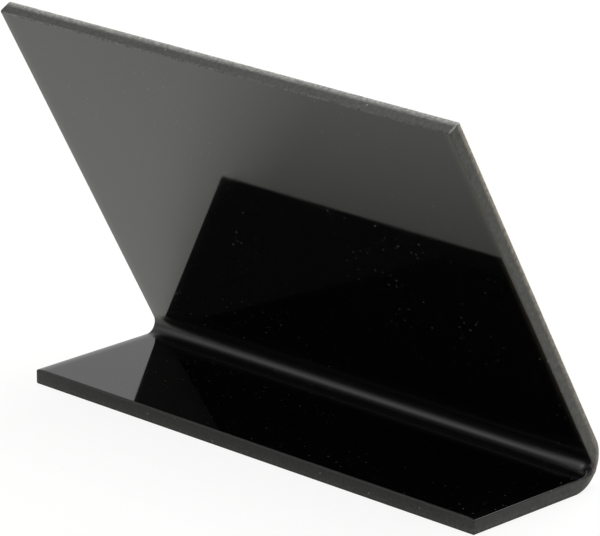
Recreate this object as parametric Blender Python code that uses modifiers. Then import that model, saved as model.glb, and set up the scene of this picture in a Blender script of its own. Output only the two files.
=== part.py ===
"""Table chalkboard sign: one sheet of black acrylic, heat-bent into a leaning panel and a foot.

Units are metres and +Z is up. The sign stands on z = 0 with its origin under the middle of its box.
X runs along the bend, the writing face looks forward and up towards -Y, and the foot reaches back
under the panel towards +Y.
"""

import math

import bmesh
import bpy
from mathutils import Vector

# Driving dimensions
SHEET_WIDTH = 0.105
SHEET_THICKNESS = 0.00285
PANEL_LENGTH = 0.0811  # front face, from the sharp outside corner of the bend to the top edge
FOOT_LENGTH = 0.0350  # underside, from the same corner to the rear edge
PANEL_ANGLE = math.radians(61.0)  # between the foot and the panel
BEND_INSIDE_RADIUS = 0.00185
BEND_WALL = 0.0017  # what heat and stretching leave of the sheet at the middle of the bend
FRONT_EDGE_ROUND = 0.00035  # eased edges of the writing face and the underside
REAR_EDGE_ROUND = 0.00035  # deburred edges everywhere else

# Fineness of the round stretches
OUTSIDE_BEND_STEPS = 20
INSIDE_BEND_STEPS = 14
EDGE_ROUND_STEPS = 2

# Anything sharper than this is a cut edge; the steps of the bend are far below it
CUT_EDGE_ANGLE = math.radians(30)
WELD_DISTANCE = 0.00001

COLLECTION_NAME = "table_chalkboard_sign"
SHEET_NAME = "chalkboard_sheet"


def clear_scene():
    for old in list(bpy.data.objects):
        bpy.data.objects.remove(old, do_unlink=True)


def make_collection(name):
    collection = bpy.data.collections.new(name)
    bpy.context.scene.collection.children.link(collection)
    return collection


def black_acrylic():
    """Cast acrylic, black all through, with the polished skin that it has from the sheet mould."""
    material = bpy.data.materials.new("black_acrylic")
    material.use_nodes = True
    shader = material.node_tree.nodes["Principled BSDF"]
    shader.inputs["Base Color"].default_value = (0.004, 0.004, 0.004, 1.0)
    shader.inputs["Roughness"].default_value = 0.06
    shader.inputs["Metallic"].default_value = 0.0
    shader.inputs["IOR"].default_value = 1.49
    return material


def half_angle_sine():
    return math.sin(PANEL_ANGLE / 2)


def outside_bend_radius():
    """The outside is rounder than the inside plus the sheet, because the bend thins to BEND_WALL."""
    corner_to_corner = SHEET_THICKNESS / half_angle_sine()
    return BEND_INSIDE_RADIUS + (corner_to_corner - BEND_WALL) / (1 / half_angle_sine() - 1)


def bend_arc(corner, radius, steps):
    """Points of the round between foot and panel, from the foot up, in the plane of the profile."""
    bisector = Vector((math.cos(PANEL_ANGLE / 2), math.sin(PANEL_ANGLE / 2)))
    centre = corner + bisector * (radius / half_angle_sine())
    foot_side = 1.5 * math.pi
    sweep = math.pi - PANEL_ANGLE
    turns = [foot_side - sweep * step / steps for step in range(steps + 1)]
    return [centre + radius * Vector((math.cos(turn), math.sin(turn))) for turn in turns]


def front_side():
    """Underside, outside of the bend and writing face, from the rear edge to the top edge."""
    up_panel = Vector((math.cos(PANEL_ANGLE), math.sin(PANEL_ANGLE)))
    corner = Vector((0.0, 0.0))
    bend = bend_arc(corner, outside_bend_radius(), OUTSIDE_BEND_STEPS)
    return [Vector((FOOT_LENGTH, 0.0))] + bend + [up_panel * PANEL_LENGTH]


def rear_side():
    """Top of the foot, inside of the bend and rear of the panel, from the rear edge to the top edge."""
    up_panel = Vector((math.cos(PANEL_ANGLE), math.sin(PANEL_ANGLE)))
    through_panel = Vector((math.sin(PANEL_ANGLE), -math.cos(PANEL_ANGLE)))
    corner = Vector((SHEET_THICKNESS / math.tan(PANEL_ANGLE / 2), SHEET_THICKNESS))
    bend = bend_arc(corner, BEND_INSIDE_RADIUS, INSIDE_BEND_STEPS)
    top = up_panel * PANEL_LENGTH + through_panel * SHEET_THICKNESS
    return [Vector((FOOT_LENGTH, SHEET_THICKNESS))] + bend + [top]


def sheet_profile():
    """Closed outline of the bent sheet, moved so that the middle of its depth is at zero."""
    outline = front_side() + rear_side()[::-1]
    depths = [point.x for point in outline]
    middle = Vector(((min(depths) + max(depths)) / 2, 0.0))
    return [point - middle for point in outline]


def extrude_profile(outline, width):
    """A filled flat curve of the outline, extruded to the width and made a mesh with whole caps."""
    curve = bpy.data.curves.new("sheet_profile", "CURVE")
    curve.dimensions = "2D"
    curve.fill_mode = "BOTH"
    curve.extrude = width / 2
    spline = curve.splines.new("POLY")
    spline.points.add(len(outline) - 1)
    for spline_point, point in zip(spline.points, outline):
        spline_point.co = (point.x, point.y, 0.0, 1.0)
    spline.use_cyclic_u = True

    guide = bpy.data.objects.new("sheet_profile", curve)
    bpy.context.scene.collection.objects.link(guide)
    bpy.context.view_layer.update()
    evaluated = guide.evaluated_get(bpy.context.evaluated_depsgraph_get())
    mesh = bpy.data.meshes.new_from_object(evaluated)
    bpy.data.objects.remove(guide, do_unlink=True)

    bm = bmesh.new()
    bm.from_mesh(mesh)
    bmesh.ops.remove_doubles(bm, verts=bm.verts, dist=WELD_DISTANCE)
    for side in (1, -1):
        cap = [face for face in bm.faces if face.normal.z * side > 0.5]
        bmesh.ops.dissolve_faces(bm, faces=cap)
    bmesh.ops.recalc_face_normals(bm, faces=bm.faces)
    bm.to_mesh(mesh)
    bm.free()
    return mesh


def weigh_cut_edges(mesh, outline, front_count):
    """Front edges take the whole width of the rounding, and the other cut edges their own share.

    The first front_count points of the outline are those of the front side.
    """

    def on_front(vert):
        place = vert.co.to_2d()
        nearest = min(range(len(outline)), key=lambda index: (outline[index] - place).length)
        return nearest < front_count

    bm = bmesh.new()
    bm.from_mesh(mesh)
    weight = bm.edges.layers.float.new("bevel_weight_edge")
    for edge in bm.edges:
        if edge.calc_face_angle() < CUT_EDGE_ANGLE:
            continue
        is_front = all(on_front(vert) for vert in edge.verts)
        edge[weight] = 1.0 if is_front else REAR_EDGE_ROUND / FRONT_EDGE_ROUND
    bm.to_mesh(mesh)
    bm.free()


def make_sheet(collection):
    outline = sheet_profile()
    mesh = extrude_profile(outline, SHEET_WIDTH)
    weigh_cut_edges(mesh, outline, len(front_side()))
    mesh.name = SHEET_NAME
    mesh.materials.clear()
    mesh.materials.append(black_acrylic())

    sheet = bpy.data.objects.new(SHEET_NAME, mesh)
    # The profile's own axes x, y and z become the sign's Y, Z and X
    sheet.rotation_euler = (math.pi / 2, 0.0, math.pi / 2)
    collection.objects.link(sheet)

    rounding = sheet.modifiers.new("cut_edges", "BEVEL")
    rounding.limit_method = "WEIGHT"
    rounding.offset_type = "OFFSET"
    rounding.width = FRONT_EDGE_ROUND
    rounding.segments = EDGE_ROUND_STEPS
    mesh.shade_smooth()
    mesh.set_sharp_from_angle(angle=CUT_EDGE_ANGLE)
    return sheet


def main():
    clear_scene()
    collection = make_collection(COLLECTION_NAME)
    make_sheet(collection)
    bpy.context.view_layer.update()


main()
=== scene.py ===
"""Looks of a table chalkboard sign: one sheet of gloss black acrylic, heat-bent into a panel and a foot.

Metres, +Z up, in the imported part's own frame. X runs along the bend, the writing face looks to -Y, and
the foot reaches back under the panel to +Y.
"""

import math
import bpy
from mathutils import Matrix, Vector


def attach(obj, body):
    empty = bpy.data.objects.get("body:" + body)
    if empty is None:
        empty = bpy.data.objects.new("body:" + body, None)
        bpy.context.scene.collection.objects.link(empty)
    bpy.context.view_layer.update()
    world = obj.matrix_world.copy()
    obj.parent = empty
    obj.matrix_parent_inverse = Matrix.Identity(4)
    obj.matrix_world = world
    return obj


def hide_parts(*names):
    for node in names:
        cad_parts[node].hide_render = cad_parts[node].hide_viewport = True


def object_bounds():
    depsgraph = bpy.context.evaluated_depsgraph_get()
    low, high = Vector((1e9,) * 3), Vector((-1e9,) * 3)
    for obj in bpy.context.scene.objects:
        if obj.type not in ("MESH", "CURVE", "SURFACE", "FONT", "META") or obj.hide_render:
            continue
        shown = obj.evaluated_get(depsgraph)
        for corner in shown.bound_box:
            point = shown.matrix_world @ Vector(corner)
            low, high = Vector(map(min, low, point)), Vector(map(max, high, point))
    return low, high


bl_info = {
    "name": "Table chalkboard sign",
    "version": (1, 0, 0),
    "blender": (4, 5, 0),
    "location": "3D View > Sidebar > Table sign",
    "description": "Models a heat-bent black acrylic table sign and the pale studio it stands in",
    "category": "Object",
}

import bmesh
import bpy
from bpy.props import FloatProperty, FloatVectorProperty, IntProperty, PointerProperty
from mathutils import Matrix, Vector

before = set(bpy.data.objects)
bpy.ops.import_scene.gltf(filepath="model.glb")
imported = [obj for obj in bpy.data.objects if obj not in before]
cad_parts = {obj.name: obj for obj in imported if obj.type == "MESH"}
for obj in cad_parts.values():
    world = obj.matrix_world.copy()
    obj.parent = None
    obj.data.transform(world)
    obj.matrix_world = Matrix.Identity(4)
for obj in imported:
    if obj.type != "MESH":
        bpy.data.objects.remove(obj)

MM = 0.001
SHEET_NODE = "chalkboard_sheet"
SHEET_PIECE = "sign_sheet"
BODY = "root"
CAD_LOW, CAD_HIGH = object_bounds()
DEPTH_NAME = "depth"

# Anything sharper than this is a cut edge; the steps of the bend are far below it
CUT_EDGE_ANGLE = math.radians(30)
WELD_DISTANCE = 0.001 * MM
# How close to a skin or an end a point counts as lying on it
TOUCHING = 0.01 * MM
# How many thicknesses of height belong to the foot
FOOT_REACH = 1.5
# Loops near each end, and from the round of a cut to the first loop beside it
END_LOOPS = 14
LOOP_GAP = 0.1 * MM
# The flare leans towards the foot: its share where the bend meets the foot, and where it meets the panel
FLARE_AT_FOOT = 1.8
FLARE_AT_PANEL = 0.2
# Share of the rear arris that sanding has reached at the two ends
SANDED_ARRIS = 0.2


def linear(hex_code):
    """Linear RGB of an sRGB hex colour, and the alpha that colour sockets ask for."""
    shares = [int(hex_code[place : place + 2], 16) / 255 for place in (0, 2, 4)]
    rgb = [share / 12.92 if share <= 0.04045 else ((share + 0.055) / 1.055) ** 2.4 for share in shares]
    return [*rgb, 1.0]


class SheetSizes(bpy.types.PropertyGroup):
    """Sizes of the bent sheet."""

    width: FloatProperty(
        name="Width",
        description="Length of the sheet along the bend",
        default=CAD_HIGH.x - CAD_LOW.x,
        unit="LENGTH",
    )
    thickness: FloatProperty(
        name="Thickness",
        description="Thickness of the flat sheet",
        default=2.85 * MM,
        unit="LENGTH",
    )
    panel_length: FloatProperty(
        name="Panel length",
        description="Front face, from the sharp outside corner of the bend to the top edge",
        default=81.1 * MM,
        unit="LENGTH",
    )
    foot_length: FloatProperty(
        name="Foot length",
        description="Underside, from the sharp outside corner of the bend to the rear edge",
        default=35.0 * MM,
        unit="LENGTH",
    )
    panel_angle: FloatProperty(
        name="Panel angle",
        description="Angle between the foot and the panel",
        default=math.radians(61.0),
        subtype="ANGLE",
    )
    bend_radius: FloatProperty(
        name="Bend radius",
        description="Radius of the inside of the bend",
        default=1.85 * MM,
        unit="LENGTH",
    )
    bend_wall: FloatProperty(
        name="Bend wall",
        description="What heat and stretching leave of the sheet at the middle of the bend",
        default=1.7 * MM,
        unit="LENGTH",
    )
    front_edge_round: FloatProperty(
        name="Front edge round",
        description="Eased edges of the writing face and the underside",
        default=0.35 * MM,
        unit="LENGTH",
    )
    rear_edge_round: FloatProperty(
        name="Rear edge round",
        description="Deburred edges everywhere else",
        default=0.35 * MM,
        unit="LENGTH",
    )
    roll_width: FloatProperty(
        name="Roll-off width",
        description="How far from the ends of the sheet its rear skin starts to fall away",
        default=2.6 * MM,
        unit="LENGTH",
    )
    foot_drop: FloatProperty(
        name="Foot roll-off",
        description="How far the top of the foot has fallen away at its two ends",
        default=0.23 * MM,
        unit="LENGTH",
    )
    panel_drop: FloatProperty(
        name="Panel roll-off",
        description="How far the rear of the panel has fallen away at the +X end",
        default=0.1 * MM,
        unit="LENGTH",
    )
    flare_width: FloatProperty(
        name="Flare width",
        description="How far from the -X end the inside of the bend starts to open out",
        default=20.0 * MM,
        unit="LENGTH",
    )
    flare_rise: FloatProperty(
        name="Flare",
        description="How far the middle of the bend's inside has risen at the -X end",
        default=0.3 * MM,
        unit="LENGTH",
    )
    lip_width: FloatProperty(
        name="Lip width",
        description="How far from the -X end the inside of the bend starts to roll over to the cut",
        default=2.0 * MM,
        unit="LENGTH",
    )
    lip_drop: FloatProperty(
        name="Lip drop",
        description="How far the inside of the bend rolls over at the -X end",
        default=1.4 * MM,
        unit="LENGTH",
    )
    bend_steps: IntProperty(
        name="Bend steps",
        description="Facets in the round of the bend",
        default=40,
        min=4,
    )
    edge_steps: IntProperty(
        name="Edge steps",
        description="Facets in the round of a cut edge",
        default=5,
        min=1,
    )


class AcrylicFinish(bpy.types.PropertyGroup):
    """Colours and gloss of the acrylic."""

    sheet_colour: FloatVectorProperty(
        name="Sheet",
        description="Black of the acrylic itself",
        default=linear("030303"),
        subtype="COLOR",
        size=4,
    )
    dust_colour: FloatVectorProperty(
        name="Dust",
        description="Specks of dust on the polished faces",
        default=linear("7a7974"),
        subtype="COLOR",
        size=4,
    )
    edge_colour: FloatVectorProperty(
        name="Cut edge",
        description="Sanded cut edges, where the fine scratches pale the black",
        default=linear("3a3a37"),
        subtype="COLOR",
        size=4,
    )
    # Painted shade: the foot's cut is darker than the panel's for the shade it stands in low by the floor
    shaded_foot_edge_colour: FloatVectorProperty(
        name="Shaded foot edge",
        description="Cut edges of the foot, painted darker as shade",
        default=linear("363634"),
        subtype="COLOR",
        size=4,
    )
    # Painted shade: the top cut is darker than the other cuts to offset the top light that falls on it
    top_edge_shaded_colour: FloatVectorProperty(
        name="Shaded top edge",
        description="Top cut edge, painted darker to offset the top light",
        default=linear("2e2f2c"),
        subtype="COLOR",
        size=4,
    )
    # Painted highlight: the pale band along the front arris stands for the glow of bright light round the
    # front edge, with its own colour along the top
    painted_rim_colour: FloatVectorProperty(
        name="Painted rim light",
        description="Painted highlight along the front arris of the cut edges",
        default=linear("a79e8d"),
        subtype="COLOR",
        size=4,
    )
    top_painted_rim_colour: FloatVectorProperty(
        name="Painted top rim light",
        description="The same along the top edge",
        default=linear("9a9a95"),
        subtype="COLOR",
        size=4,
    )
    # How far the painted highlight reaches across a cut edge, and across the top edge
    rim_light_depth: FloatProperty(
        name="Rim light depth",
        description="How far the painted highlight reaches across a cut edge",
        default=1.1 * MM,
        unit="LENGTH",
    )
    top_rim_light_depth: FloatProperty(
        name="Top rim light depth",
        description="How far the painted highlight reaches across the top edge",
        default=1.35 * MM,
        unit="LENGTH",
    )
    # Painted sheen: a pale band beside the two ends of the skin, weak low on the panel and stronger at the
    # top
    end_sheen_width: FloatProperty(
        name="End sheen width",
        description="How far the painted sheen reaches from the cuts over the polished skin",
        default=2.4 * MM,
        unit="LENGTH",
    )
    end_sheen_share: FloatProperty(
        name="End sheen",
        description="How strong the painted sheen is right beside the cut, low on the panel",
        default=0.06,
        min=0.0,
        max=1.0,
        subtype="FACTOR",
    )
    top_end_sheen_share: FloatProperty(
        name="Top end sheen",
        description="The same at the top of the panel",
        default=0.12,
        min=0.0,
        max=1.0,
        subtype="FACTOR",
    )
    chip_colour: FloatVectorProperty(
        name="Chips",
        description="Tiny chips and scratches on the cut edges",
        default=linear("8a8984"),
        subtype="COLOR",
        size=4,
    )
    face_roughness: FloatProperty(
        name="Face roughness",
        description="Roughness of the polished faces",
        default=0.03,
        min=0.0,
        max=1.0,
        subtype="FACTOR",
    )
    bend_roughness: FloatProperty(
        name="Bend roughness",
        description="What heating and bending add to the roughness of the inside of the bend",
        default=0.3,
        min=0.0,
        max=1.0,
        subtype="FACTOR",
    )
    edge_roughness: FloatProperty(
        name="Edge roughness",
        description="Roughness of the sanded cut edges",
        default=0.55,
        min=0.0,
        max=1.0,
        subtype="FACTOR",
    )


class StudioSetup(bpy.types.PropertyGroup):
    """Camera, floor and light."""

    floor_colour: FloatVectorProperty(
        name="Floor",
        description="Pale floor that the sign stands on",
        default=linear("f2f4ee"),
        subtype="COLOR",
        size=4,
    )
    camera_azimuth: FloatProperty(
        name="Camera azimuth",
        description="Turn of the camera round the sign; zero looks at the writing face",
        default=math.radians(224.475),
        subtype="ANGLE",
    )
    camera_elevation: FloatProperty(
        name="Camera elevation",
        description="Height of the camera above the horizon",
        default=math.radians(18.315),
        subtype="ANGLE",
    )
    camera_roll: FloatProperty(
        name="Camera roll",
        description="Turn of the camera about its own axis",
        default=math.radians(-0.079),
        subtype="ANGLE",
    )
    camera_distance: FloatProperty(
        name="Camera distance",
        description="From the camera to the point that it aims at",
        default=787.05 * MM,
        unit="LENGTH",
    )
    camera_aim: FloatVectorProperty(
        name="Camera aim",
        description="Point at the middle of the picture",
        default=(-1.40 * MM, 0.16 * MM, 31.15 * MM),
        subtype="XYZ",
        unit="LENGTH",
    )
    lens: FloatProperty(
        name="Lens",
        description="Focal length in millimetres on a 36 mm sensor",
        default=279.33,
    )
    key_power: FloatProperty(
        name="Key light",
        description="Power of the soft box above the writing face, in watts",
        default=3.6,
    )
    ambient: FloatProperty(
        name="Ambient",
        description="Strength of the soft light from all round",
        default=0.44,
    )
    top_power: FloatProperty(
        name="Top light",
        description="Power of the soft box straight above the sign, in watts",
        default=5.6,
    )
    lamp_power: FloatProperty(
        name="Side lamp",
        description="Power of the small lamp to the left of the camera, in watts",
        default=1.2,
    )


class BentProfile:
    """Cross-section of the bent sheet in the YZ plane, worked out from its sizes."""

    def __init__(self, sizes):
        half_angle = sizes.panel_angle / 2
        sine = math.sin(half_angle)
        tangent = math.tan(half_angle)
        self.sizes = sizes
        self.half_width = sizes.width / 2
        self.thickness = sizes.thickness
        self.sweep = math.pi - sizes.panel_angle
        self.up_panel = Vector((0.0, math.cos(sizes.panel_angle), math.sin(sizes.panel_angle)))
        self.rear_normal = Vector((0.0, math.sin(sizes.panel_angle), -math.cos(sizes.panel_angle)))
        self.inside_radius = sizes.bend_radius
        # The bend thins, so its outside is rounder than the inside plus the sheet
        thinning = (sizes.thickness / sine - sizes.bend_wall) / (1 / sine - 1)
        self.outside_radius = sizes.bend_radius + thinning
        # The sharp outside corner lies ahead of the round that is the foremost point of the sign
        reach = self.outside_radius / tangent - self.outside_radius
        self.corner = Vector((0.0, CAD_LOW.y - reach, CAD_LOW.z))
        self.inner_corner = self.corner + Vector((0.0, sizes.thickness / tangent, sizes.thickness))
        bisector = Vector((0.0, math.cos(half_angle), sine))
        self.outside_centre = self.corner + bisector * (self.outside_radius / sine)
        self.inside_centre = self.inner_corner + bisector * (self.inside_radius / sine)

    def in_bend(self, point, centre):
        """True between the two planes that bound the round about this centre."""
        arm = point - centre
        return arm.y < 0 and arm.dot(self.up_panel) < 0

    def depth(self, point):
        """How far a point lies behind the front skin: writing face, outside of the bend and underside."""
        if self.in_bend(point, self.outside_centre):
            arm = point - self.outside_centre
            return self.outside_radius - Vector((0.0, arm.y, arm.z)).length
        return min(point.z - self.corner.z, (point - self.corner).dot(self.rear_normal))

    def along_bend(self, point):
        """Share of the way round the inside of the bend, from the foot to the panel."""
        arm = point - self.inside_centre
        return min(1.0, max(0.0, math.atan2(-arm.y, -arm.z) / self.sweep))

    def on_foot(self, point):
        return point.z - self.corner.z < FOOT_REACH * self.thickness

    def end_distance(self, point):
        """Distance from the nearer end of the bend."""
        return self.half_width - abs(point.x)

    def edge_distance(self, point):
        """Distance from the top edge or, on the foot, from its rear edge."""
        from_corner = point - self.corner
        if self.on_foot(point):
            return self.sizes.foot_length - from_corner.y
        return self.sizes.panel_length - from_corner.dot(self.up_panel)

    def skin_normal(self, point):
        """Outward direction of the polished skin that a point of the sheet belongs to."""
        is_front = self.depth(point) < self.sizes.bend_wall / 2
        centre = self.outside_centre if is_front else self.inside_centre
        side = 1 if is_front else -1
        if self.in_bend(point, centre):
            arm = point - centre
            return Vector((0.0, arm.y, arm.z)).normalized() * side
        if self.on_foot(point):
            return Vector((0.0, 0.0, -side))
        return self.rear_normal * -side


def deselect_everything():
    if bpy.context.object and bpy.context.object.mode != "OBJECT":
        bpy.ops.object.mode_set(mode="OBJECT")
    bpy.ops.object.select_all(action="DESELECT")


def edit_mesh():
    return bmesh.from_edit_mesh(bpy.context.object.data)


def select_where(kind, wanted):
    """Selects just the edges or the faces of the mesh in edit mode for which wanted says yes."""
    bpy.ops.mesh.select_mode(type=kind)
    bpy.ops.mesh.select_all(action="DESELECT")
    bm = edit_mesh()
    for part in bm.edges if kind == "EDGE" else bm.faces:
        part.select_set(wanted(part))
    bmesh.update_edit_mesh(bpy.context.object.data)


def extrude_by(step):
    bpy.ops.mesh.extrude_region_move(TRANSFORM_OT_translate={"value": step})


def draw_side(profile, lift, centre):
    """Draws one side of the cross-section with a vertex: along the foot, round the bend, up the panel."""
    sizes = profile.sizes
    start = profile.corner + Vector((-profile.half_width, sizes.foot_length, lift))
    bpy.ops.mesh.primitive_plane_add(size=MM, location=start)
    bpy.ops.mesh.merge(type="CENTER")
    extrude_by((0.0, centre.y - start.y, 0.0))
    bpy.ops.mesh.spin(
        steps=sizes.bend_steps,
        angle=profile.sweep,
        center=centre,
        axis=(1.0, 0.0, 0.0),
    )
    reached = (centre - profile.corner).dot(profile.up_panel)
    extrude_by(profile.up_panel * (sizes.panel_length - reached))


def apply_modifier(sheet, kind, **settings):
    modifier = sheet.modifiers.new(kind.lower(), kind)
    for name, value in settings.items():
        setattr(modifier, name, value)
    bpy.ops.object.modifier_apply(modifier=modifier.name)


def model_blank(profile):
    """The bent sheet with sharp edges: two drawn sides, bridged and extruded across the width."""
    deselect_everything()
    bpy.ops.mesh.primitive_plane_add(size=MM, location=(0.0, 0.0, 0.0))
    sheet = bpy.context.object
    sheet.name = SHEET_PIECE
    sheet.data.name = SHEET_PIECE
    bpy.ops.object.mode_set(mode="EDIT")
    bpy.ops.mesh.delete(type="VERT")
    draw_side(profile, 0.0, profile.outside_centre)
    draw_side(profile, profile.thickness, profile.inside_centre)
    bpy.ops.mesh.select_all(action="SELECT")
    bpy.ops.mesh.remove_doubles(threshold=WELD_DISTANCE)
    bpy.ops.mesh.bridge_edge_loops()
    bpy.ops.mesh.select_all(action="SELECT")
    extrude_by((profile.sizes.width, 0.0, 0.0))
    bpy.ops.mesh.select_all(action="SELECT")
    bpy.ops.mesh.normals_make_consistent(inside=False)
    return sheet


def round_cut_edges(sheet, profile):
    """Front edges get the whole rounding, and the other cut edges their own share of it."""
    sizes = profile.sizes

    def is_cut(edge):
        return edge.is_manifold and edge.calc_face_angle() > CUT_EDGE_ANGLE

    def is_front(edge):
        return all(profile.depth(vert.co) < TOUCHING for vert in edge.verts)

    select_where("EDGE", lambda edge: is_cut(edge) and is_front(edge))
    bpy.ops.transform.edge_bevelweight(value=1.0)
    select_where("EDGE", lambda edge: is_cut(edge) and not is_front(edge))
    bpy.ops.transform.edge_bevelweight(value=sizes.rear_edge_round / sizes.front_edge_round)
    bpy.ops.object.mode_set(mode="OBJECT")
    apply_modifier(
        sheet,
        "BEVEL",
        limit_method="WEIGHT",
        width=sizes.front_edge_round,
        segments=sizes.edge_steps,
    )
    bpy.ops.object.mode_set(mode="EDIT")


def cut_support_loops(profile):
    """One loop beside each cut to hold the flat flat, and more at the two ends for what rolls off."""
    sizes = profile.sizes
    beside_cut = sizes.front_edge_round + LOOP_GAP
    bpy.ops.mesh.select_all(action="SELECT")
    bpy.ops.mesh.bisect(
        plane_co=profile.corner + profile.up_panel * (sizes.panel_length - beside_cut),
        plane_no=profile.up_panel,
    )
    select_where("FACE", lambda face: profile.on_foot(face.calc_center_median()))
    bpy.ops.mesh.bisect(
        plane_co=profile.corner + Vector((0.0, sizes.foot_length - beside_cut, 0.0)),
        plane_no=(0.0, 1.0, 0.0),
    )
    # The loops stand closer together towards the ends, where the roll-off is steepest
    widening = (sizes.flare_width / beside_cut) ** (1 / (END_LOOPS - 1))
    for distance in [beside_cut * widening**step for step in range(END_LOOPS)]:
        for side in (1, -1):
            bpy.ops.mesh.select_all(action="SELECT")
            bpy.ops.mesh.bisect(
                plane_co=(side * (profile.half_width - distance), 0.0, 0.0),
                plane_no=(1.0, 0.0, 0.0),
            )


def roll_off(profile, point):
    """How far the soft, squeezed rear skin has sunk at a point near an end of the sheet."""
    sizes = profile.sizes
    if profile.depth(point) < sizes.bend_wall / 2:
        return 0.0
    foot_fall = sizes.foot_drop * max(0.0, 1 - profile.end_distance(point) / sizes.roll_width) ** 2
    panel_fall = sizes.panel_drop * max(0.0, 1 - (profile.half_width - point.x) / sizes.roll_width) ** 2
    if not profile.in_bend(point, profile.inside_centre):
        return foot_fall if profile.on_foot(point) else panel_fall
    turned = profile.along_bend(point)
    # The heat was deepest at the middle of the bend, and at its -X end
    softened = math.sin(math.pi * turned)
    from_end = profile.half_width + point.x
    lean = FLARE_AT_FOOT + (FLARE_AT_PANEL - FLARE_AT_FOOT) * turned
    flare_share = lean * max(0.0, 1 - from_end / sizes.flare_width) ** 2
    past_lip = min(1.0, max(0.0, 1 - from_end / sizes.lip_width))
    lip_share = 1 - math.sqrt(1 - past_lip**2)
    return (
        foot_fall * (1 - turned)
        + panel_fall * turned
        - sizes.flare_rise * flare_share * softened**2
        + sizes.lip_drop * lip_share * softened**3
    )


def shape_skin(profile):
    """Rolls off the ends of the rear skin, and keeps it in the part's own box."""
    bm = edit_mesh()
    moves = [profile.skin_normal(vert.co) * -roll_off(profile, vert.co) for vert in bm.verts]
    for vert, move in zip(bm.verts, moves):
        vert.co += move
        vert.co.y = min(vert.co.y, CAD_HIGH.y)
        vert.co.z = min(vert.co.z, CAD_HIGH.z)
    bmesh.update_edit_mesh(bpy.context.object.data)


def finish_normals(sheet):
    """Smooth rounds beside flats that stay flat in their reflections."""
    bpy.ops.object.mode_set(mode="OBJECT")
    bpy.ops.object.shade_smooth()
    apply_modifier(sheet, "WEIGHTED_NORMAL", mode="FACE_AREA", weight=80)


def assign_finishes(sheet, profile):
    """Polished faces first, then sanded cut edges, and how deep behind the front each point lies."""
    sizes = profile.sizes
    sheet.data.materials.append(polished_acrylic_and_painted_sheen(bpy.context.scene.sign_finish, profile))
    sheet.data.materials.append(sanded_edge_and_painted_light(bpy.context.scene.sign_finish, profile))
    for face in sheet.data.polygons:
        is_front = profile.depth(face.center) < sizes.bend_wall / 2
        is_lip = not is_front and profile.in_bend(face.center, profile.inside_centre)
        rounding = sizes.front_edge_round if is_front else sizes.rear_edge_round
        # At the two ends the polish runs over the rear arris, and in the bend right to the cut
        end_reach = rounding
        if not is_front:
            end_reach = TOUCHING if is_lip else SANDED_ARRIS * rounding
        is_sanded = (
            profile.edge_distance(face.center) < rounding or profile.end_distance(face.center) < end_reach
        )
        face.material_index = 1 if is_sanded else 0
    depth = sheet.data.attributes.new(DEPTH_NAME, "FLOAT", "POINT")
    for vert in sheet.data.vertices:
        depth.data[vert.index].value = profile.depth(vert.co)


def add_node(tree, kind, sockets=None, **settings):
    """Adds a node, sets its properties, and fills or links its sockets; a node links its first output."""
    made = tree.nodes.new(kind)
    for name, value in settings.items():
        setattr(made, name, value)
    for socket, value in (sockets or {}).items():
        if isinstance(value, bpy.types.Node):
            value = value.outputs[0]
        if isinstance(value, bpy.types.NodeSocket):
            tree.links.new(value, made.inputs[socket])
        else:
            made.inputs[socket].default_value = value
    return made


# A Mix node's sockets for colours share their names with those for numbers, so they go by number
FIRST_COLOUR = 6
SECOND_COLOUR = 7
MIXED_COLOUR = 2


def lay_coats(tree, colour, *coats):
    """Lays coats of other colours over a colour, each as thickly as its own share says."""
    for share, coat in coats:
        covered = add_node(
            tree,
            "ShaderNodeMix",
            {"Factor": share, FIRST_COLOUR: colour, SECOND_COLOUR: coat},
            data_type="RGBA",
        )
        colour = covered.outputs[MIXED_COLOUR]
    return colour


ACRYLIC_IOR = 1.49


def new_acrylic(name):
    """A material of bare acrylic, with its tree, its shader, and each point's place and depth."""
    material = bpy.data.materials.new(name)
    material.use_nodes = True
    tree = material.node_tree
    shader = tree.nodes["Principled BSDF"]
    shader.inputs["IOR"].default_value = ACRYLIC_IOR
    place = add_node(tree, "ShaderNodeTexCoord").outputs["Object"]
    depth = add_node(tree, "ShaderNodeAttribute", attribute_name=DEPTH_NAME).outputs["Fac"]
    return material, tree, shader, place, depth


# Dust and lint on the polished skin
DUST_SPACING = 0.9 * MM
DUST_RADIUS = 0.26 * MM
DUST_DRIFT = 22 * MM
DUST_ROUGHNESS = 0.8
LINT_SPACING = 3.2 * MM
LINT_RADIUS = 0.13 * MM
LINT_TURN = (0.3, 0.5, 0.9)
LINT_STRETCH = 0.14
SPECK_UNEVENNESS = 0.3 * MM
SPECK_WOBBLE = 0.15 * MM
# The higher, the fewer large specks there are
SPECK_RARITY = 1.7
FAINTEST_SPECK = 0.1
# How much dust stays on the writing face, which is wiped more often than the rest
DUST_IN_FRONT = 0.4


def specks(tree, place, density, spacing, radius, rarity=SPECK_RARITY, faintest=FAINTEST_SPECK):
    """Scattered specks, at most of this radius, where the points of a foam come close to the skin.

    A point's own random numbers say how large and how bright its speck is.
    """
    foam = add_node(tree, "ShaderNodeTexVoronoi", {"Vector": place, "Scale": 1 / spacing})
    chance = add_node(tree, "ShaderNodeSeparateColor", {"Color": foam.outputs["Color"]})
    size = add_node(tree, "ShaderNodeMath", {0: chance.outputs["Red"], 1: rarity}, operation="POWER")
    gathered = add_node(tree, "ShaderNodeMath", {0: size, 1: density}, operation="MULTIPLY")
    extent = add_node(tree, "ShaderNodeMath", {0: gathered, 1: radius / spacing}, operation="MULTIPLY")
    brightness = add_node(
        tree,
        "ShaderNodeMapRange",
        {"Value": chance.outputs["Green"], "To Min": faintest},
    )
    return add_node(
        tree,
        "ShaderNodeMapRange",
        {"Value": foam.outputs["Distance"], "From Min": extent, "From Max": 0.0, "To Max": brightness},
    )


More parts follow.
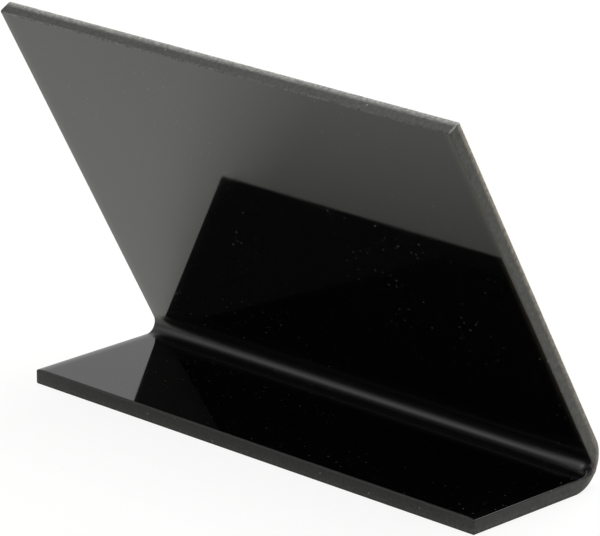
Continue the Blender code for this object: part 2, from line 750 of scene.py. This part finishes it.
def fallen_dust(tree, place, depth, profile):
    """How thickly dust and lint lie at each point of the skin."""
    # Dust: specks a tenth of a millimetre or so across, uneven in outline, in loose drifts
    uneven = add_node(
        tree,
        "ShaderNodeTexNoise",
        {"Vector": place, "Scale": 1 / SPECK_UNEVENNESS, "Detail": 1.0},
    )
    wobbled = add_node(
        tree,
        "ShaderNodeVectorMath",
        {0: uneven.outputs["Color"], 1: (SPECK_WOBBLE, SPECK_WOBBLE, SPECK_WOBBLE), 2: place},
        operation="MULTIPLY_ADD",
    )
    drift = add_node(tree, "ShaderNodeTexNoise", {"Vector": place, "Scale": 1 / DUST_DRIFT})
    gathered = add_node(
        tree,
        "ShaderNodeMapRange",
        {"Value": drift.outputs["Fac"], "From Min": 0.38, "From Max": 0.62, "To Min": 0.4},
    )
    dust = specks(tree, wobbled, gathered, DUST_SPACING, DUST_RADIUS)
    # Lint: the same, drawn out to short hairs
    drawn_out = add_node(
        tree,
        "ShaderNodeMapping",
        {"Vector": wobbled, "Rotation": LINT_TURN, "Scale": (LINT_STRETCH, 1.0, 1.0)},
    )
    lint = specks(tree, drawn_out, 1.0, LINT_SPACING, LINT_RADIUS)
    fallen = add_node(tree, "ShaderNodeMath", {0: dust, 1: lint}, operation="MAXIMUM")
    left_lying = add_node(
        tree,
        "ShaderNodeMapRange",
        {"Value": depth, "From Max": profile.thickness / 2, "To Min": DUST_IN_FRONT},
    )
    return add_node(tree, "ShaderNodeMath", {0: fallen, 1: left_lying}, operation="MULTIPLY")


# Soft patches that a cloth leaves, and what they add to the roughness
SMEAR_SIZE = 20 * MM
SMEAR_ROUGHNESS = 0.03
# How far past its round the dullness of the bend reaches
BLOOM_REACH = 0.7 * MM


def skin_roughness(tree, place, dusty, finish, profile):
    """A mirror with faint smears, which is duller in the bend and where dust lies."""
    smear = add_node(tree, "ShaderNodeTexNoise", {"Vector": place, "Scale": 1 / SMEAR_SIZE, "Detail": 3.0})
    haze = add_node(
        tree,
        "ShaderNodeMapRange",
        {
            "Value": smear.outputs["Fac"],
            "From Min": 0.4,
            "From Max": 0.7,
            "To Min": finish.face_roughness,
            "To Max": finish.face_roughness + SMEAR_ROUGHNESS,
        },
    )
    # The bend was soft when it was made, which took the mirror off the skin there
    across = add_node(tree, "ShaderNodeVectorMath", {0: place, 1: (0.0, 1.0, 1.0)}, operation="MULTIPLY")
    from_bend = add_node(
        tree,
        "ShaderNodeVectorMath",
        {0: across, 1: profile.inside_centre},
        operation="DISTANCE",
    )
    bloom = add_node(
        tree,
        "ShaderNodeMapRange",
        {
            "Value": from_bend.outputs["Value"],
            "From Min": profile.inside_radius,
            "From Max": profile.inside_radius + BLOOM_REACH,
            "To Min": finish.bend_roughness,
            "To Max": 0.0,
        },
        interpolation_type="SMOOTHSTEP",
    )
    dulled = add_node(tree, "ShaderNodeMath", {0: haze, 1: bloom}, operation="ADD")
    return add_node(tree, "ShaderNodeMix", {"Factor": dusty, "A": dulled, "B": DUST_ROUGHNESS})


# Strokes of a dry cloth, and how much chalk they leave at most
STROKE_WIDTH = 7 * MM
STROKE_STRETCH = 0.12
STROKE_LEAN = 0.05
FILM_SHARE = 0.05


def wiped_film(tree, place, depth, profile):
    """What a dry cloth leaves of old chalk on the writing face, in strokes along the sign."""
    strokes = add_node(
        tree,
        "ShaderNodeMapping",
        {"Vector": place, "Rotation": (0.0, STROKE_LEAN, 0.0), "Scale": (STROKE_STRETCH, 1.0, 1.0)},
    )
    streaky = add_node(
        tree,
        "ShaderNodeTexNoise",
        {"Vector": strokes, "Scale": 1 / STROKE_WIDTH, "Detail": 4.0, "Roughness": 0.6},
    )
    wiped = add_node(
        tree,
        "ShaderNodeMapRange",
        {"Value": streaky.outputs["Fac"], "From Min": 0.42, "From Max": 0.75, "To Max": FILM_SHARE},
    )
    in_front = add_node(
        tree,
        "ShaderNodeMapRange",
        {"Value": depth, "From Min": profile.thickness / 2, "From Max": 0.0},
    )
    return add_node(tree, "ShaderNodeMath", {0: wiped, 1: in_front}, operation="MULTIPLY")


# How steeply the painted sheen fades away from the cut
SHEEN_FADE = 3.0


def painted_end_sheen(tree, place, finish, profile):
    """Painted sheen on the panel's skin beside its two ends: pale bands, strongest at the top."""
    foot_height = FOOT_REACH * profile.thickness
    parts = add_node(tree, "ShaderNodeSeparateXYZ", {0: place})
    sideways = add_node(tree, "ShaderNodeMath", {0: parts.outputs["X"]}, operation="ABSOLUTE")
    beside_end = add_node(
        tree,
        "ShaderNodeMapRange",
        {
            "Value": sideways,
            "From Min": profile.half_width - finish.end_sheen_width,
            "From Max": profile.half_width,
        },
    )
    fading = add_node(tree, "ShaderNodeMath", {0: beside_end, 1: SHEEN_FADE}, operation="POWER")
    sheen_by_height = add_node(
        tree,
        "ShaderNodeMapRange",
        {
            "Value": parts.outputs["Z"],
            "From Min": 2 * foot_height,
            "From Max": CAD_HIGH.z,
            "To Min": finish.end_sheen_share,
            "To Max": finish.top_end_sheen_share,
        },
    )
    on_panel = add_node(
        tree,
        "ShaderNodeMapRange",
        {
            "Value": parts.outputs["Z"],
            "From Min": foot_height,
            "From Max": 2 * foot_height,
            "To Max": sheen_by_height,
        },
    )
    return add_node(tree, "ShaderNodeMath", {0: fading, 1: on_panel}, operation="MULTIPLY")


def polished_acrylic_and_painted_sheen(finish, profile):
    """Cast acrylic with its mirror-smooth mould skin: deep black, with dust, lint and wiping marks, and a
    painted sheen beside the two ends.
    """
    material, tree, shader, place, depth = new_acrylic("polished_black_acrylic_and_painted_sheen")
    dusty = fallen_dust(tree, place, depth, profile)
    roughness = skin_roughness(tree, place, dusty, finish, profile)
    tree.links.new(roughness.outputs["Result"], shader.inputs["Roughness"])
    # Coats over the black: wiping marks, then the painted sheen beside the ends in the colour of the
    # painted arris highlight, then dust
    colour = lay_coats(
        tree,
        finish.sheet_colour,
        (wiped_film(tree, place, depth, profile), finish.dust_colour),
        (painted_end_sheen(tree, place, finish, profile), finish.painted_rim_colour),
        (dusty, finish.dust_colour),
    )
    tree.links.new(colour, shader.inputs["Base Color"])
    return material


# Heights between which the painted shade on the foot's cut gives way to the panel's grey
FOOT_SHADE_ENDS = 2.0 * MM
PANEL_GREY_STARTS = 9.0 * MM
# How nearly black the painted shade makes the foot's cut along its upper edge
FOOT_TOP_SHADE = 0.75


def shaded_cut_colour(tree, height, depth, on_top, finish, profile):
    """Grey of the bare cut with painted shade: darker on the foot and nearly black along its upper edge,
    and darker on the top edge to offset the top light.
    """
    shade_along_foot_top = add_node(
        tree,
        "ShaderNodeMapRange",
        {"Value": depth, "From Max": profile.thickness, "To Max": FOOT_TOP_SHADE},
    )
    above_foot = add_node(
        tree,
        "ShaderNodeMapRange",
        {"Value": height, "From Min": FOOT_SHADE_ENDS, "From Max": PANEL_GREY_STARTS},
        interpolation_type="SMOOTHSTEP",
    )
    return lay_coats(
        tree,
        finish.shaded_foot_edge_colour,
        (shade_along_foot_top, finish.sheet_colour),
        (above_foot, finish.edge_colour),
        (on_top, finish.top_edge_shaded_colour),
    )


# Height from which the painted highlight on the front arris starts, and how strong it is low on the panel
RIM_LIGHT_FROM_HEIGHT = 3.0 * MM
RIM_LIGHT_AT_BOTTOM = 0.6


def painted_rim_light(tree, height, depth, on_top, finish):
    """Painted highlight along the front arris: strongest at the top, weaker low on the panel, and none
    under the foot.
    """
    reach = add_node(
        tree,
        "ShaderNodeMapRange",
        {"Value": on_top, "To Min": finish.rim_light_depth, "To Max": finish.top_rim_light_depth},
    )
    near_front_arris = add_node(tree, "ShaderNodeMapRange", {"Value": depth, "From Min": reach, "From Max": 0.0})
    rim_light_by_height = add_node(
        tree,
        "ShaderNodeMapRange",
        {"Value": height, "From Max": CAD_HIGH.z, "To Min": RIM_LIGHT_AT_BOTTOM},
    )
    rim_light_above_floor = add_node(
        tree,
        "ShaderNodeMapRange",
        {"Value": height, "From Max": RIM_LIGHT_FROM_HEIGHT, "To Max": rim_light_by_height},
        interpolation_type="SMOOTHSTEP",
    )
    return add_node(tree, "ShaderNodeMath", {0: near_front_arris, 1: rim_light_above_floor}, operation="MULTIPLY")


# Shares of the rounding from an edge at which the painted highlight on the top corners starts and is whole,
# and how strong it is
CORNER_STARTS = 0.9
CORNER_WHOLE = 0.4
CORNER_HIGHLIGHT = 0.5


def painted_corner_highlight(tree, sideways, up_panel, profile):
    """Painted highlight on the two top corners, where the top edge meets the ends."""
    starts = CORNER_STARTS * profile.sizes.rear_edge_round
    whole = CORNER_WHOLE * profile.sizes.rear_edge_round
    off_middle = add_node(tree, "ShaderNodeMath", {0: sideways}, operation="ABSOLUTE")
    at_end = add_node(
        tree,
        "ShaderNodeMapRange",
        {
            "Value": off_middle,
            "From Min": profile.half_width - starts,
            "From Max": profile.half_width - whole,
        },
    )
    at_top = add_node(
        tree,
        "ShaderNodeMapRange",
        {
            "Value": up_panel,
            "From Min": profile.sizes.panel_length - starts,
            "From Max": profile.sizes.panel_length - whole,
            "To Max": CORNER_HIGHLIGHT,
        },
    )
    return add_node(tree, "ShaderNodeMath", {0: at_top, 1: at_end}, operation="MULTIPLY")


# How much of the rounding the painted light along the top's rear arris covers, and how pale it is at the -X
# end and at the +X end
REAR_LIGHT_REACH = 0.9
REAR_LIGHT_AT_LOW_X = 0.22
REAR_LIGHT_AT_HIGH_X = 0.5


def painted_top_rear_light(tree, sideways, depth, on_top, profile):
    """Painted light along the rear arris of the top edge, a little paler than the cut and stronger towards
    +X, painting out the shade on that rounding.
    """
    share = add_node(
        tree,
        "ShaderNodeMapRange",
        {
            "Value": sideways,
            "From Min": -profile.half_width,
            "From Max": profile.half_width,
            "To Min": REAR_LIGHT_AT_LOW_X,
            "To Max": REAR_LIGHT_AT_HIGH_X,
        },
    )
    along_rear = add_node(
        tree,
        "ShaderNodeMapRange",
        {
            "Value": depth,
            "From Min": profile.thickness - REAR_LIGHT_REACH * profile.sizes.rear_edge_round,
            "From Max": profile.thickness,
            "To Max": share,
        },
    )
    return add_node(tree, "ShaderNodeMath", {0: along_rear, 1: on_top}, operation="MULTIPLY")


# How far below the top edge its own painted shade and painted highlights start, and where they are whole
TOP_PAINT_STARTS = 0.5 * MM
TOP_PAINT_WHOLE = 0.15 * MM
# The scratches themselves are too fine to show, so they are drawn as a mottle of about half a millimetre
GRIT_SIZE = 0.6 * MM
GRIT_HEIGHT = 0.03 * MM
GRIT_DARKEST = 0.6
GRIT_PALEST = 1.4
CHIP_SPACING = 1.6 * MM
CHIP_RADIUS = 0.24 * MM


def sanded_edge_and_painted_light(finish, profile):
    """Acrylic sawn and sanded: the scratches scatter light, so the black looks dark grey and dull. Painted
    highlights and painted shade lie over that grey.
    """
    material, tree, shader, place, depth = new_acrylic("sanded_acrylic_edge_and_painted_light")
    shader.inputs["Roughness"].default_value = finish.edge_roughness
    parts = add_node(tree, "ShaderNodeSeparateXYZ", {0: place})
    sideways = parts.outputs["X"]
    height = parts.outputs["Z"]
    from_corner = add_node(
        tree,
        "ShaderNodeVectorMath",
        {0: place, 1: profile.corner},
        operation="SUBTRACT",
    )
    up_panel = add_node(
        tree,
        "ShaderNodeVectorMath",
        {0: from_corner, 1: profile.up_panel},
        operation="DOT_PRODUCT",
    ).outputs["Value"]
    on_top = add_node(
        tree,
        "ShaderNodeMapRange",
        {
            "Value": up_panel,
            "From Min": profile.sizes.panel_length - TOP_PAINT_STARTS,
            "From Max": profile.sizes.panel_length - TOP_PAINT_WHOLE,
        },
        interpolation_type="SMOOTHSTEP",
    )

    # Painted highlights on the front arris and the top corners, and painted light along the top's rear
    # arris; where they meet the palest shows
    painted_corner_and_rear_light = add_node(
        tree,
        "ShaderNodeMath",
        {
            0: painted_corner_highlight(tree, sideways, up_panel, profile),
            1: painted_top_rear_light(tree, sideways, depth, on_top, profile),
        },
        operation="MAXIMUM",
    )
    palest_painted_light = add_node(
        tree,
        "ShaderNodeMath",
        {0: painted_rim_light(tree, height, depth, on_top, finish), 1: painted_corner_and_rear_light},
        operation="MAXIMUM",
    )
    # Colour of the painted highlight, its own along the top, laid over the cut's grey with its painted
    # shade
    pale_rim_paint = lay_coats(tree, finish.painted_rim_colour, (on_top, finish.top_painted_rim_colour))
    cut = shaded_cut_colour(tree, height, depth, on_top, finish, profile)
    cut_with_painted_light = lay_coats(tree, cut, (palest_painted_light, pale_rim_paint))

    grit = add_node(
        tree,
        "ShaderNodeTexNoise",
        {"Vector": place, "Scale": 1 / GRIT_SIZE, "Detail": 3.0, "Roughness": 0.6},
    )
    mottle = add_node(
        tree,
        "ShaderNodeMapRange",
        {
            "Value": grit.outputs["Fac"],
            "From Min": 0.35,
            "From Max": 0.65,
            "To Min": GRIT_DARKEST,
            "To Max": GRIT_PALEST,
        },
    )
    mottled = add_node(tree, "ShaderNodeVectorMath", {0: cut_with_painted_light, "Scale": mottle}, operation="SCALE")
    # Tiny chips catch the light, small and large ones alike
    chips = specks(tree, place, 1.0, CHIP_SPACING, CHIP_RADIUS, rarity=1.0, faintest=1.0)
    chipped = lay_coats(tree, mottled, (chips, finish.chip_colour))
    tree.links.new(chipped, shader.inputs["Base Color"])
    bump = add_node(
        tree,
        "ShaderNodeBump",
        {"Height": grit.outputs["Fac"], "Distance": GRIT_HEIGHT, "Strength": 0.5},
    )
    tree.links.new(bump.outputs["Normal"], shader.inputs["Normal"])
    return material


class TABLESIGN_OT_bent_sheet(bpy.types.Operator):
    """Models the bent acrylic sheet, gives it its finishes and puts it in the frame"""

    bl_idname = "table_sign.bent_sheet"
    bl_label = "Bent sheet"

    def execute(self, context):
        profile = BentProfile(context.scene.sign_sizes)
        sheet = model_blank(profile)
        round_cut_edges(sheet, profile)
        cut_support_loops(profile)
        shape_skin(profile)
        finish_normals(sheet)
        assign_finishes(sheet, profile)
        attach(sheet, BODY)
        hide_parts(SHEET_NODE)
        return {"FINISHED"}


def add_camera(studio):
    azimuth = studio.camera_azimuth
    elevation = studio.camera_elevation
    back = Vector(
        (
            math.sin(azimuth) * math.cos(elevation),
            -math.cos(azimuth) * math.cos(elevation),
            math.sin(elevation),
        )
    )
    right = back.cross(Vector((0.0, 0.0, -1.0))).normalized()
    axes = Matrix((right, back.cross(right), back)).transposed()
    turn = axes @ Matrix.Rotation(studio.camera_roll, 3, "Z")
    bpy.ops.object.camera_add(
        location=Vector(studio.camera_aim) + back * studio.camera_distance,
        rotation=turn.to_euler(),
    )
    camera = bpy.context.object
    camera.data.lens = studio.lens
    bpy.context.scene.camera = camera


# Light that two mirrors have turned across each other comes back dimmer than rendering without
# polarisation makes it: what is left of it when it comes from the floor, and from the walls
FLOOR_MIRRORED_TWICE = 0.35
WALLS_MIRRORED_TWICE = 0.3
# Glossy Depth counts mirrors, and this lies between the first and the second
ONE_MIRROR = 1.5

FLOOR_SIZE = 6.0
# Depths behind the sign between which the paper runs out of the light, and how much it loses
PAPER_DIMS_FROM = 40 * MM
PAPER_DIMS_TO = 90 * MM
PAPER_DIMMING = 0.8
# How much of the paper that the camera sees is plain white
PLAIN_WHITE = 0.88
BLACK = linear("000000")


def add_floor(studio):
    """Pale paper: nearly white to the camera, and in reflections lit and shaded, and dim far behind."""
    bpy.ops.mesh.primitive_plane_add(size=FLOOR_SIZE, location=(0.0, 0.0, CAD_LOW.z))
    floor = bpy.context.object
    floor.name = "floor"
    material = bpy.data.materials.new("pale_paper")
    material.use_nodes = True
    tree = material.node_tree
    tree.nodes.clear()

    place = add_node(tree, "ShaderNodeTexCoord").outputs["Object"]
    path = add_node(tree, "ShaderNodeLightPath")
    parts = add_node(tree, "ShaderNodeSeparateXYZ", {0: place})
    far = add_node(
        tree,
        "ShaderNodeMapRange",
        {
            "Value": parts.outputs["Y"],
            "From Min": PAPER_DIMS_FROM,
            "From Max": PAPER_DIMS_TO,
            "To Max": PAPER_DIMMING,
        },
    )
    far_mirrored = add_node(
        tree,
        "ShaderNodeMath",
        {0: far, 1: path.outputs["Is Glossy Ray"]},
        operation="MULTIPLY",
    )
    twice = add_node(
        tree,
        "ShaderNodeMath",
        {0: path.outputs["Glossy Depth"], 1: ONE_MIRROR},
        operation="GREATER_THAN",
    )
    dimming = add_node(
        tree,
        "ShaderNodeMath",
        {0: twice, 1: 1 - FLOOR_MIRRORED_TWICE},
        operation="MULTIPLY",
    )
    tone = lay_coats(tree, studio.floor_colour, (far_mirrored, BLACK), (dimming, BLACK))
    paper = add_node(tree, "ShaderNodeBsdfDiffuse", {"Color": tone})
    white = add_node(tree, "ShaderNodeEmission")
    share = add_node(
        tree,
        "ShaderNodeMath",
        {0: path.outputs["Is Camera Ray"], 1: PLAIN_WHITE},
        operation="MULTIPLY",
    )
    both = add_node(tree, "ShaderNodeMixShader", {0: share, 1: paper, 2: white})
    add_node(tree, "ShaderNodeOutputMaterial", {"Surface": both})
    floor.data.materials.append(material)


def add_soft_box(name, place, size, power):
    """A square soft box that looks at the sign."""
    aim = (CAD_LOW + CAD_HIGH) / 2
    bpy.ops.object.light_add(
        type="AREA",
        location=place,
        rotation=(aim - place).to_track_quat("-Z", "Y").to_euler(),
    )
    lamp = bpy.context.object
    lamp.name = name
    lamp.data.shape = "SQUARE"
    lamp.data.size = size
    lamp.data.energy = power
    return lamp


# The window in front of the sign: how much brighter its panes are than the wall, how far apart its bars
# stand, and the directions between which it fades out to the sides and to the top
WINDOW_GAIN = 4.0
PANE_SPACING = 0.26
WINDOW_SIDE_INNER = 0.3
WINDOW_SIDE_OUTER = 0.45
WINDOW_TOP_INNER = 0.55
WINDOW_TOP_OUTER = 0.65


def window_light(tree, sideways, height):
    """How much brighter the panes of the window are than the wall beside it."""
    turn = add_node(
        tree,
        "ShaderNodeMath",
        {0: sideways, 1: 2 * math.pi / PANE_SPACING},
        operation="MULTIPLY",
    )
    wave = add_node(tree, "ShaderNodeMath", {0: turn}, operation="SINE")
    pane = add_node(
        tree,
        "ShaderNodeMapRange",
        {"Value": wave, "From Min": -1.0},
        interpolation_type="SMOOTHSTEP",
    )
    off_middle = add_node(tree, "ShaderNodeMath", {0: sideways}, operation="ABSOLUTE")
    between_sides = add_node(
        tree,
        "ShaderNodeMapRange",
        {"Value": off_middle, "From Min": WINDOW_SIDE_OUTER, "From Max": WINDOW_SIDE_INNER},
        interpolation_type="SMOOTHSTEP",
    )
    below_top = add_node(
        tree,
        "ShaderNodeMapRange",
        {"Value": height, "From Min": WINDOW_TOP_OUTER, "From Max": WINDOW_TOP_INNER},
        interpolation_type="SMOOTHSTEP",
    )
    opening = add_node(tree, "ShaderNodeMath", {0: between_sides, 1: below_top}, operation="MULTIPLY")
    glass = add_node(tree, "ShaderNodeMath", {0: opening, 1: pane}, operation="MULTIPLY")
    return add_node(tree, "ShaderNodeMapRange", {"Value": glass, "To Min": 1.0, "To Max": WINDOW_GAIN})


# Sine of the height above the horizon, and how bright each side of the studio is there in reflections
FRONT_BY_HEIGHT = ((0.0, 1.2), (0.26, 0.82), (0.33, 0.77), (0.5, 0.76), (0.75, 0.4))
CAMERA_SIDE_BY_HEIGHT = ((0.05, 0.5), (0.24, 0.6), (0.37, 1.3), (0.43, 1.2), (0.6, 0.6), (0.75, 0.45))
# Directions along Y between which the front gives way to the camera's side
CAMERA_SIDE_STARTS = -0.1
CAMERA_SIDE_WHOLE = 0.3
# How much light the wall behind the camera keeps, and the direction along X from which it has it all
BEHIND_CAMERA = 0.25
BESIDE_CAMERA = 0.4


def lit_side(tree, height, stops, gain):
    """How bright one side of the studio is in reflections: a grey for each height, times the gain."""
    greys = add_node(tree, "ShaderNodeValToRGB", {"Fac": height})
    elements = greys.color_ramp.elements
    for place, brightness in stops:
        stop = elements.new(place)
        stop.color = (brightness, brightness, brightness, 1.0)
    # The two stops that every ramp starts with
    elements.remove(elements[0])
    elements.remove(elements[-1])
    return add_node(
        tree,
        "ShaderNodeVectorMath",
        {0: greys.outputs["Color"], "Scale": gain},
        operation="SCALE",
    )


def light_studio(studio):
    """Walls that the camera sees as plain white and the floor as even light, uneven only in reflections."""
    world = bpy.data.worlds.new("pale_studio")
    bpy.context.scene.world = world
    world.use_nodes = True
    tree = world.node_tree
    background = tree.nodes["Background"]
    background.inputs["Color"].default_value = (1.0, 1.0, 1.0, 1.0)
    path = add_node(tree, "ShaderNodeLightPath")
    way = add_node(tree, "ShaderNodeTexCoord")
    parts = add_node(tree, "ShaderNodeSeparateXYZ", {0: way.outputs["Generated"]})
    sideways = parts.outputs["X"]
    height = parts.outputs["Z"]
    camera_side = add_node(
        tree,
        "ShaderNodeMapRange",
        {"Value": parts.outputs["Y"], "From Min": CAMERA_SIDE_STARTS, "From Max": CAMERA_SIDE_WHOLE},
    )
    beside_camera = add_node(
        tree,
        "ShaderNodeMapRange",
        {"Value": sideways, "From Max": BESIDE_CAMERA, "To Min": BEHIND_CAMERA},
    )
    twice = add_node(
        tree,
        "ShaderNodeMath",
        {0: path.outputs["Glossy Depth"], 1: ONE_MIRROR},
        operation="GREATER_THAN",
    )
    once_or_twice = add_node(
        tree,
        "ShaderNodeMapRange",
        {"Value": twice, "To Min": 1.0, "To Max": WALLS_MIRRORED_TWICE},
    )
    share = add_node(tree, "ShaderNodeMath", {0: beside_camera, 1: once_or_twice}, operation="MULTIPLY")
    walls = add_node(
        tree,
        "ShaderNodeMix",
        {
            "Factor": camera_side,
            "A": lit_side(tree, height, FRONT_BY_HEIGHT, window_light(tree, sideways, height)),
            "B": lit_side(tree, height, CAMERA_SIDE_BY_HEIGHT, share),
        },
    )
    lit = add_node(
        tree,
        "ShaderNodeMix",
        {"Factor": path.outputs["Is Glossy Ray"], "A": studio.ambient, "B": walls},
    )
    seen = add_node(tree, "ShaderNodeMix", {"Factor": path.outputs["Is Camera Ray"], "A": lit, "B": 1.0})
    tree.links.new(seen.outputs["Result"], background.inputs["Strength"])


# Where the soft boxes stand, and how wide they are
KEY_PLACE = Vector((0.0, -0.5, 0.9))
KEY_SIZE = 0.6
TOP_PLACE = Vector((0.0, 0.0, 0.9))
TOP_SIZE = 0.5
SIDE_PLACE = Vector((0.36, 0.7, 0.62))
SIDE_SIZE = 0.2


class TABLESIGN_OT_studio(bpy.types.Operator):
    """Sets up the camera, the pale floor and the soft light"""

    bl_idname = "table_sign.studio"
    bl_label = "Studio"

    def execute(self, context):
        studio = context.scene.sign_studio
        deselect_everything()
        add_camera(studio)
        add_floor(studio)
        add_soft_box("key_light", KEY_PLACE, KEY_SIZE, studio.key_power)
        add_soft_box("top_light", TOP_PLACE, TOP_SIZE, studio.top_power)
        lamp = add_soft_box("side_lamp", SIDE_PLACE, SIDE_SIZE, studio.lamp_power)
        # Too small and weak to light the floor, but seen in the gloss
        lamp.visible_diffuse = False
        light_studio(studio)
        context.scene.view_settings.view_transform = "Standard"
        return {"FINISHED"}


class TABLESIGN_PT_sidebar(bpy.types.Panel):
    """Lists what makes the sign"""

    bl_idname = "TABLESIGN_PT_sidebar"
    bl_label = "Table sign"
    bl_space_type = "VIEW_3D"
    bl_region_type = "UI"
    bl_category = "Table sign"

    def draw(self, context):
        for settings in (context.scene.sign_sizes, context.scene.sign_finish, context.scene.sign_studio):
            for name in settings.__annotations__:
                self.layout.prop(settings, name)
        self.layout.operator(TABLESIGN_OT_bent_sheet.bl_idname)
        self.layout.operator(TABLESIGN_OT_studio.bl_idname)


CLASSES = (
    SheetSizes,
    AcrylicFinish,
    StudioSetup,
    TABLESIGN_OT_bent_sheet,
    TABLESIGN_OT_studio,
    TABLESIGN_PT_sidebar,
)


def register():
    for cls in CLASSES:
        bpy.utils.register_class(cls)
    bpy.types.Scene.sign_sizes = PointerProperty(type=SheetSizes)
    bpy.types.Scene.sign_finish = PointerProperty(type=AcrylicFinish)
    bpy.types.Scene.sign_studio = PointerProperty(type=StudioSetup)


def unregister():
    del bpy.types.Scene.sign_studio
    del bpy.types.Scene.sign_finish
    del bpy.types.Scene.sign_sizes
    for cls in reversed(CLASSES):
        bpy.utils.unregister_class(cls)


def main():
    register()
    bpy.ops.table_sign.bent_sheet()
    bpy.ops.table_sign.studio()


if __name__ == "__main__":
    main()
